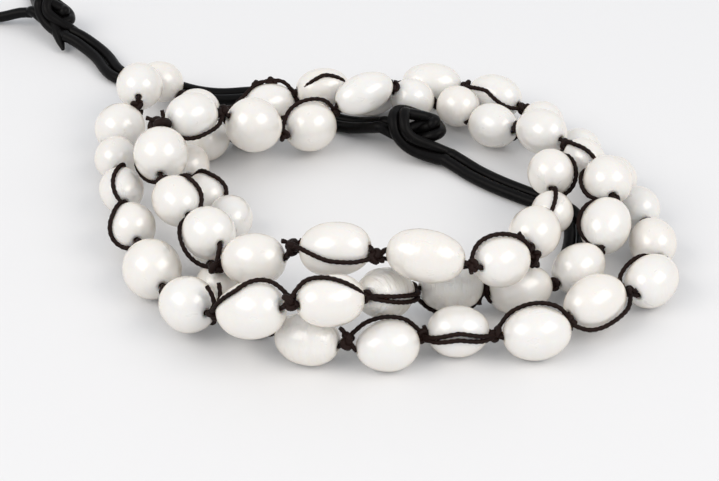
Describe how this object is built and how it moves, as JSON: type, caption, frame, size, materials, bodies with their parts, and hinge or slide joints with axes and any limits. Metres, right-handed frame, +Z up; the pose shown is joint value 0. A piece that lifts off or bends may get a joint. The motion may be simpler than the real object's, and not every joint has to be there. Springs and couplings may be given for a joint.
{
  "type": "pearl bracelet",
  "caption": "Wrap bracelet of knotted off-round pearls in several turns, closed by a doubled leather cord with overhand knots.",
  "frame": {"origin": "on the surface that the bracelet lies on, under the middle of the pearls' footprint", "axes": "+Z up, away from the surface; -Y towards the long front row of pearls; the leather leaves at -X +Y"},
  "size_m": [0.1257, 0.1228, 0.0169],
  "materials": {
    "nacre": "lustrous nacre",
    "black_leather": "smooth black, half glossy"
  },
  "bodies": {
    "root": {"pearl_strand_1": "nacre", "pearl_strand_2": "nacre", "closure_knot": "black_leather", "end_knot": "black_leather", "leather_loop_1": "black_leather", "leather_loop_2": "black_leather", "leather_back_1": "black_leather", "leather_back_2": "black_leather", "leather_tail_1": "black_leather", "leather_tail_2": "black_leather"}
  },
  "joints": []
}
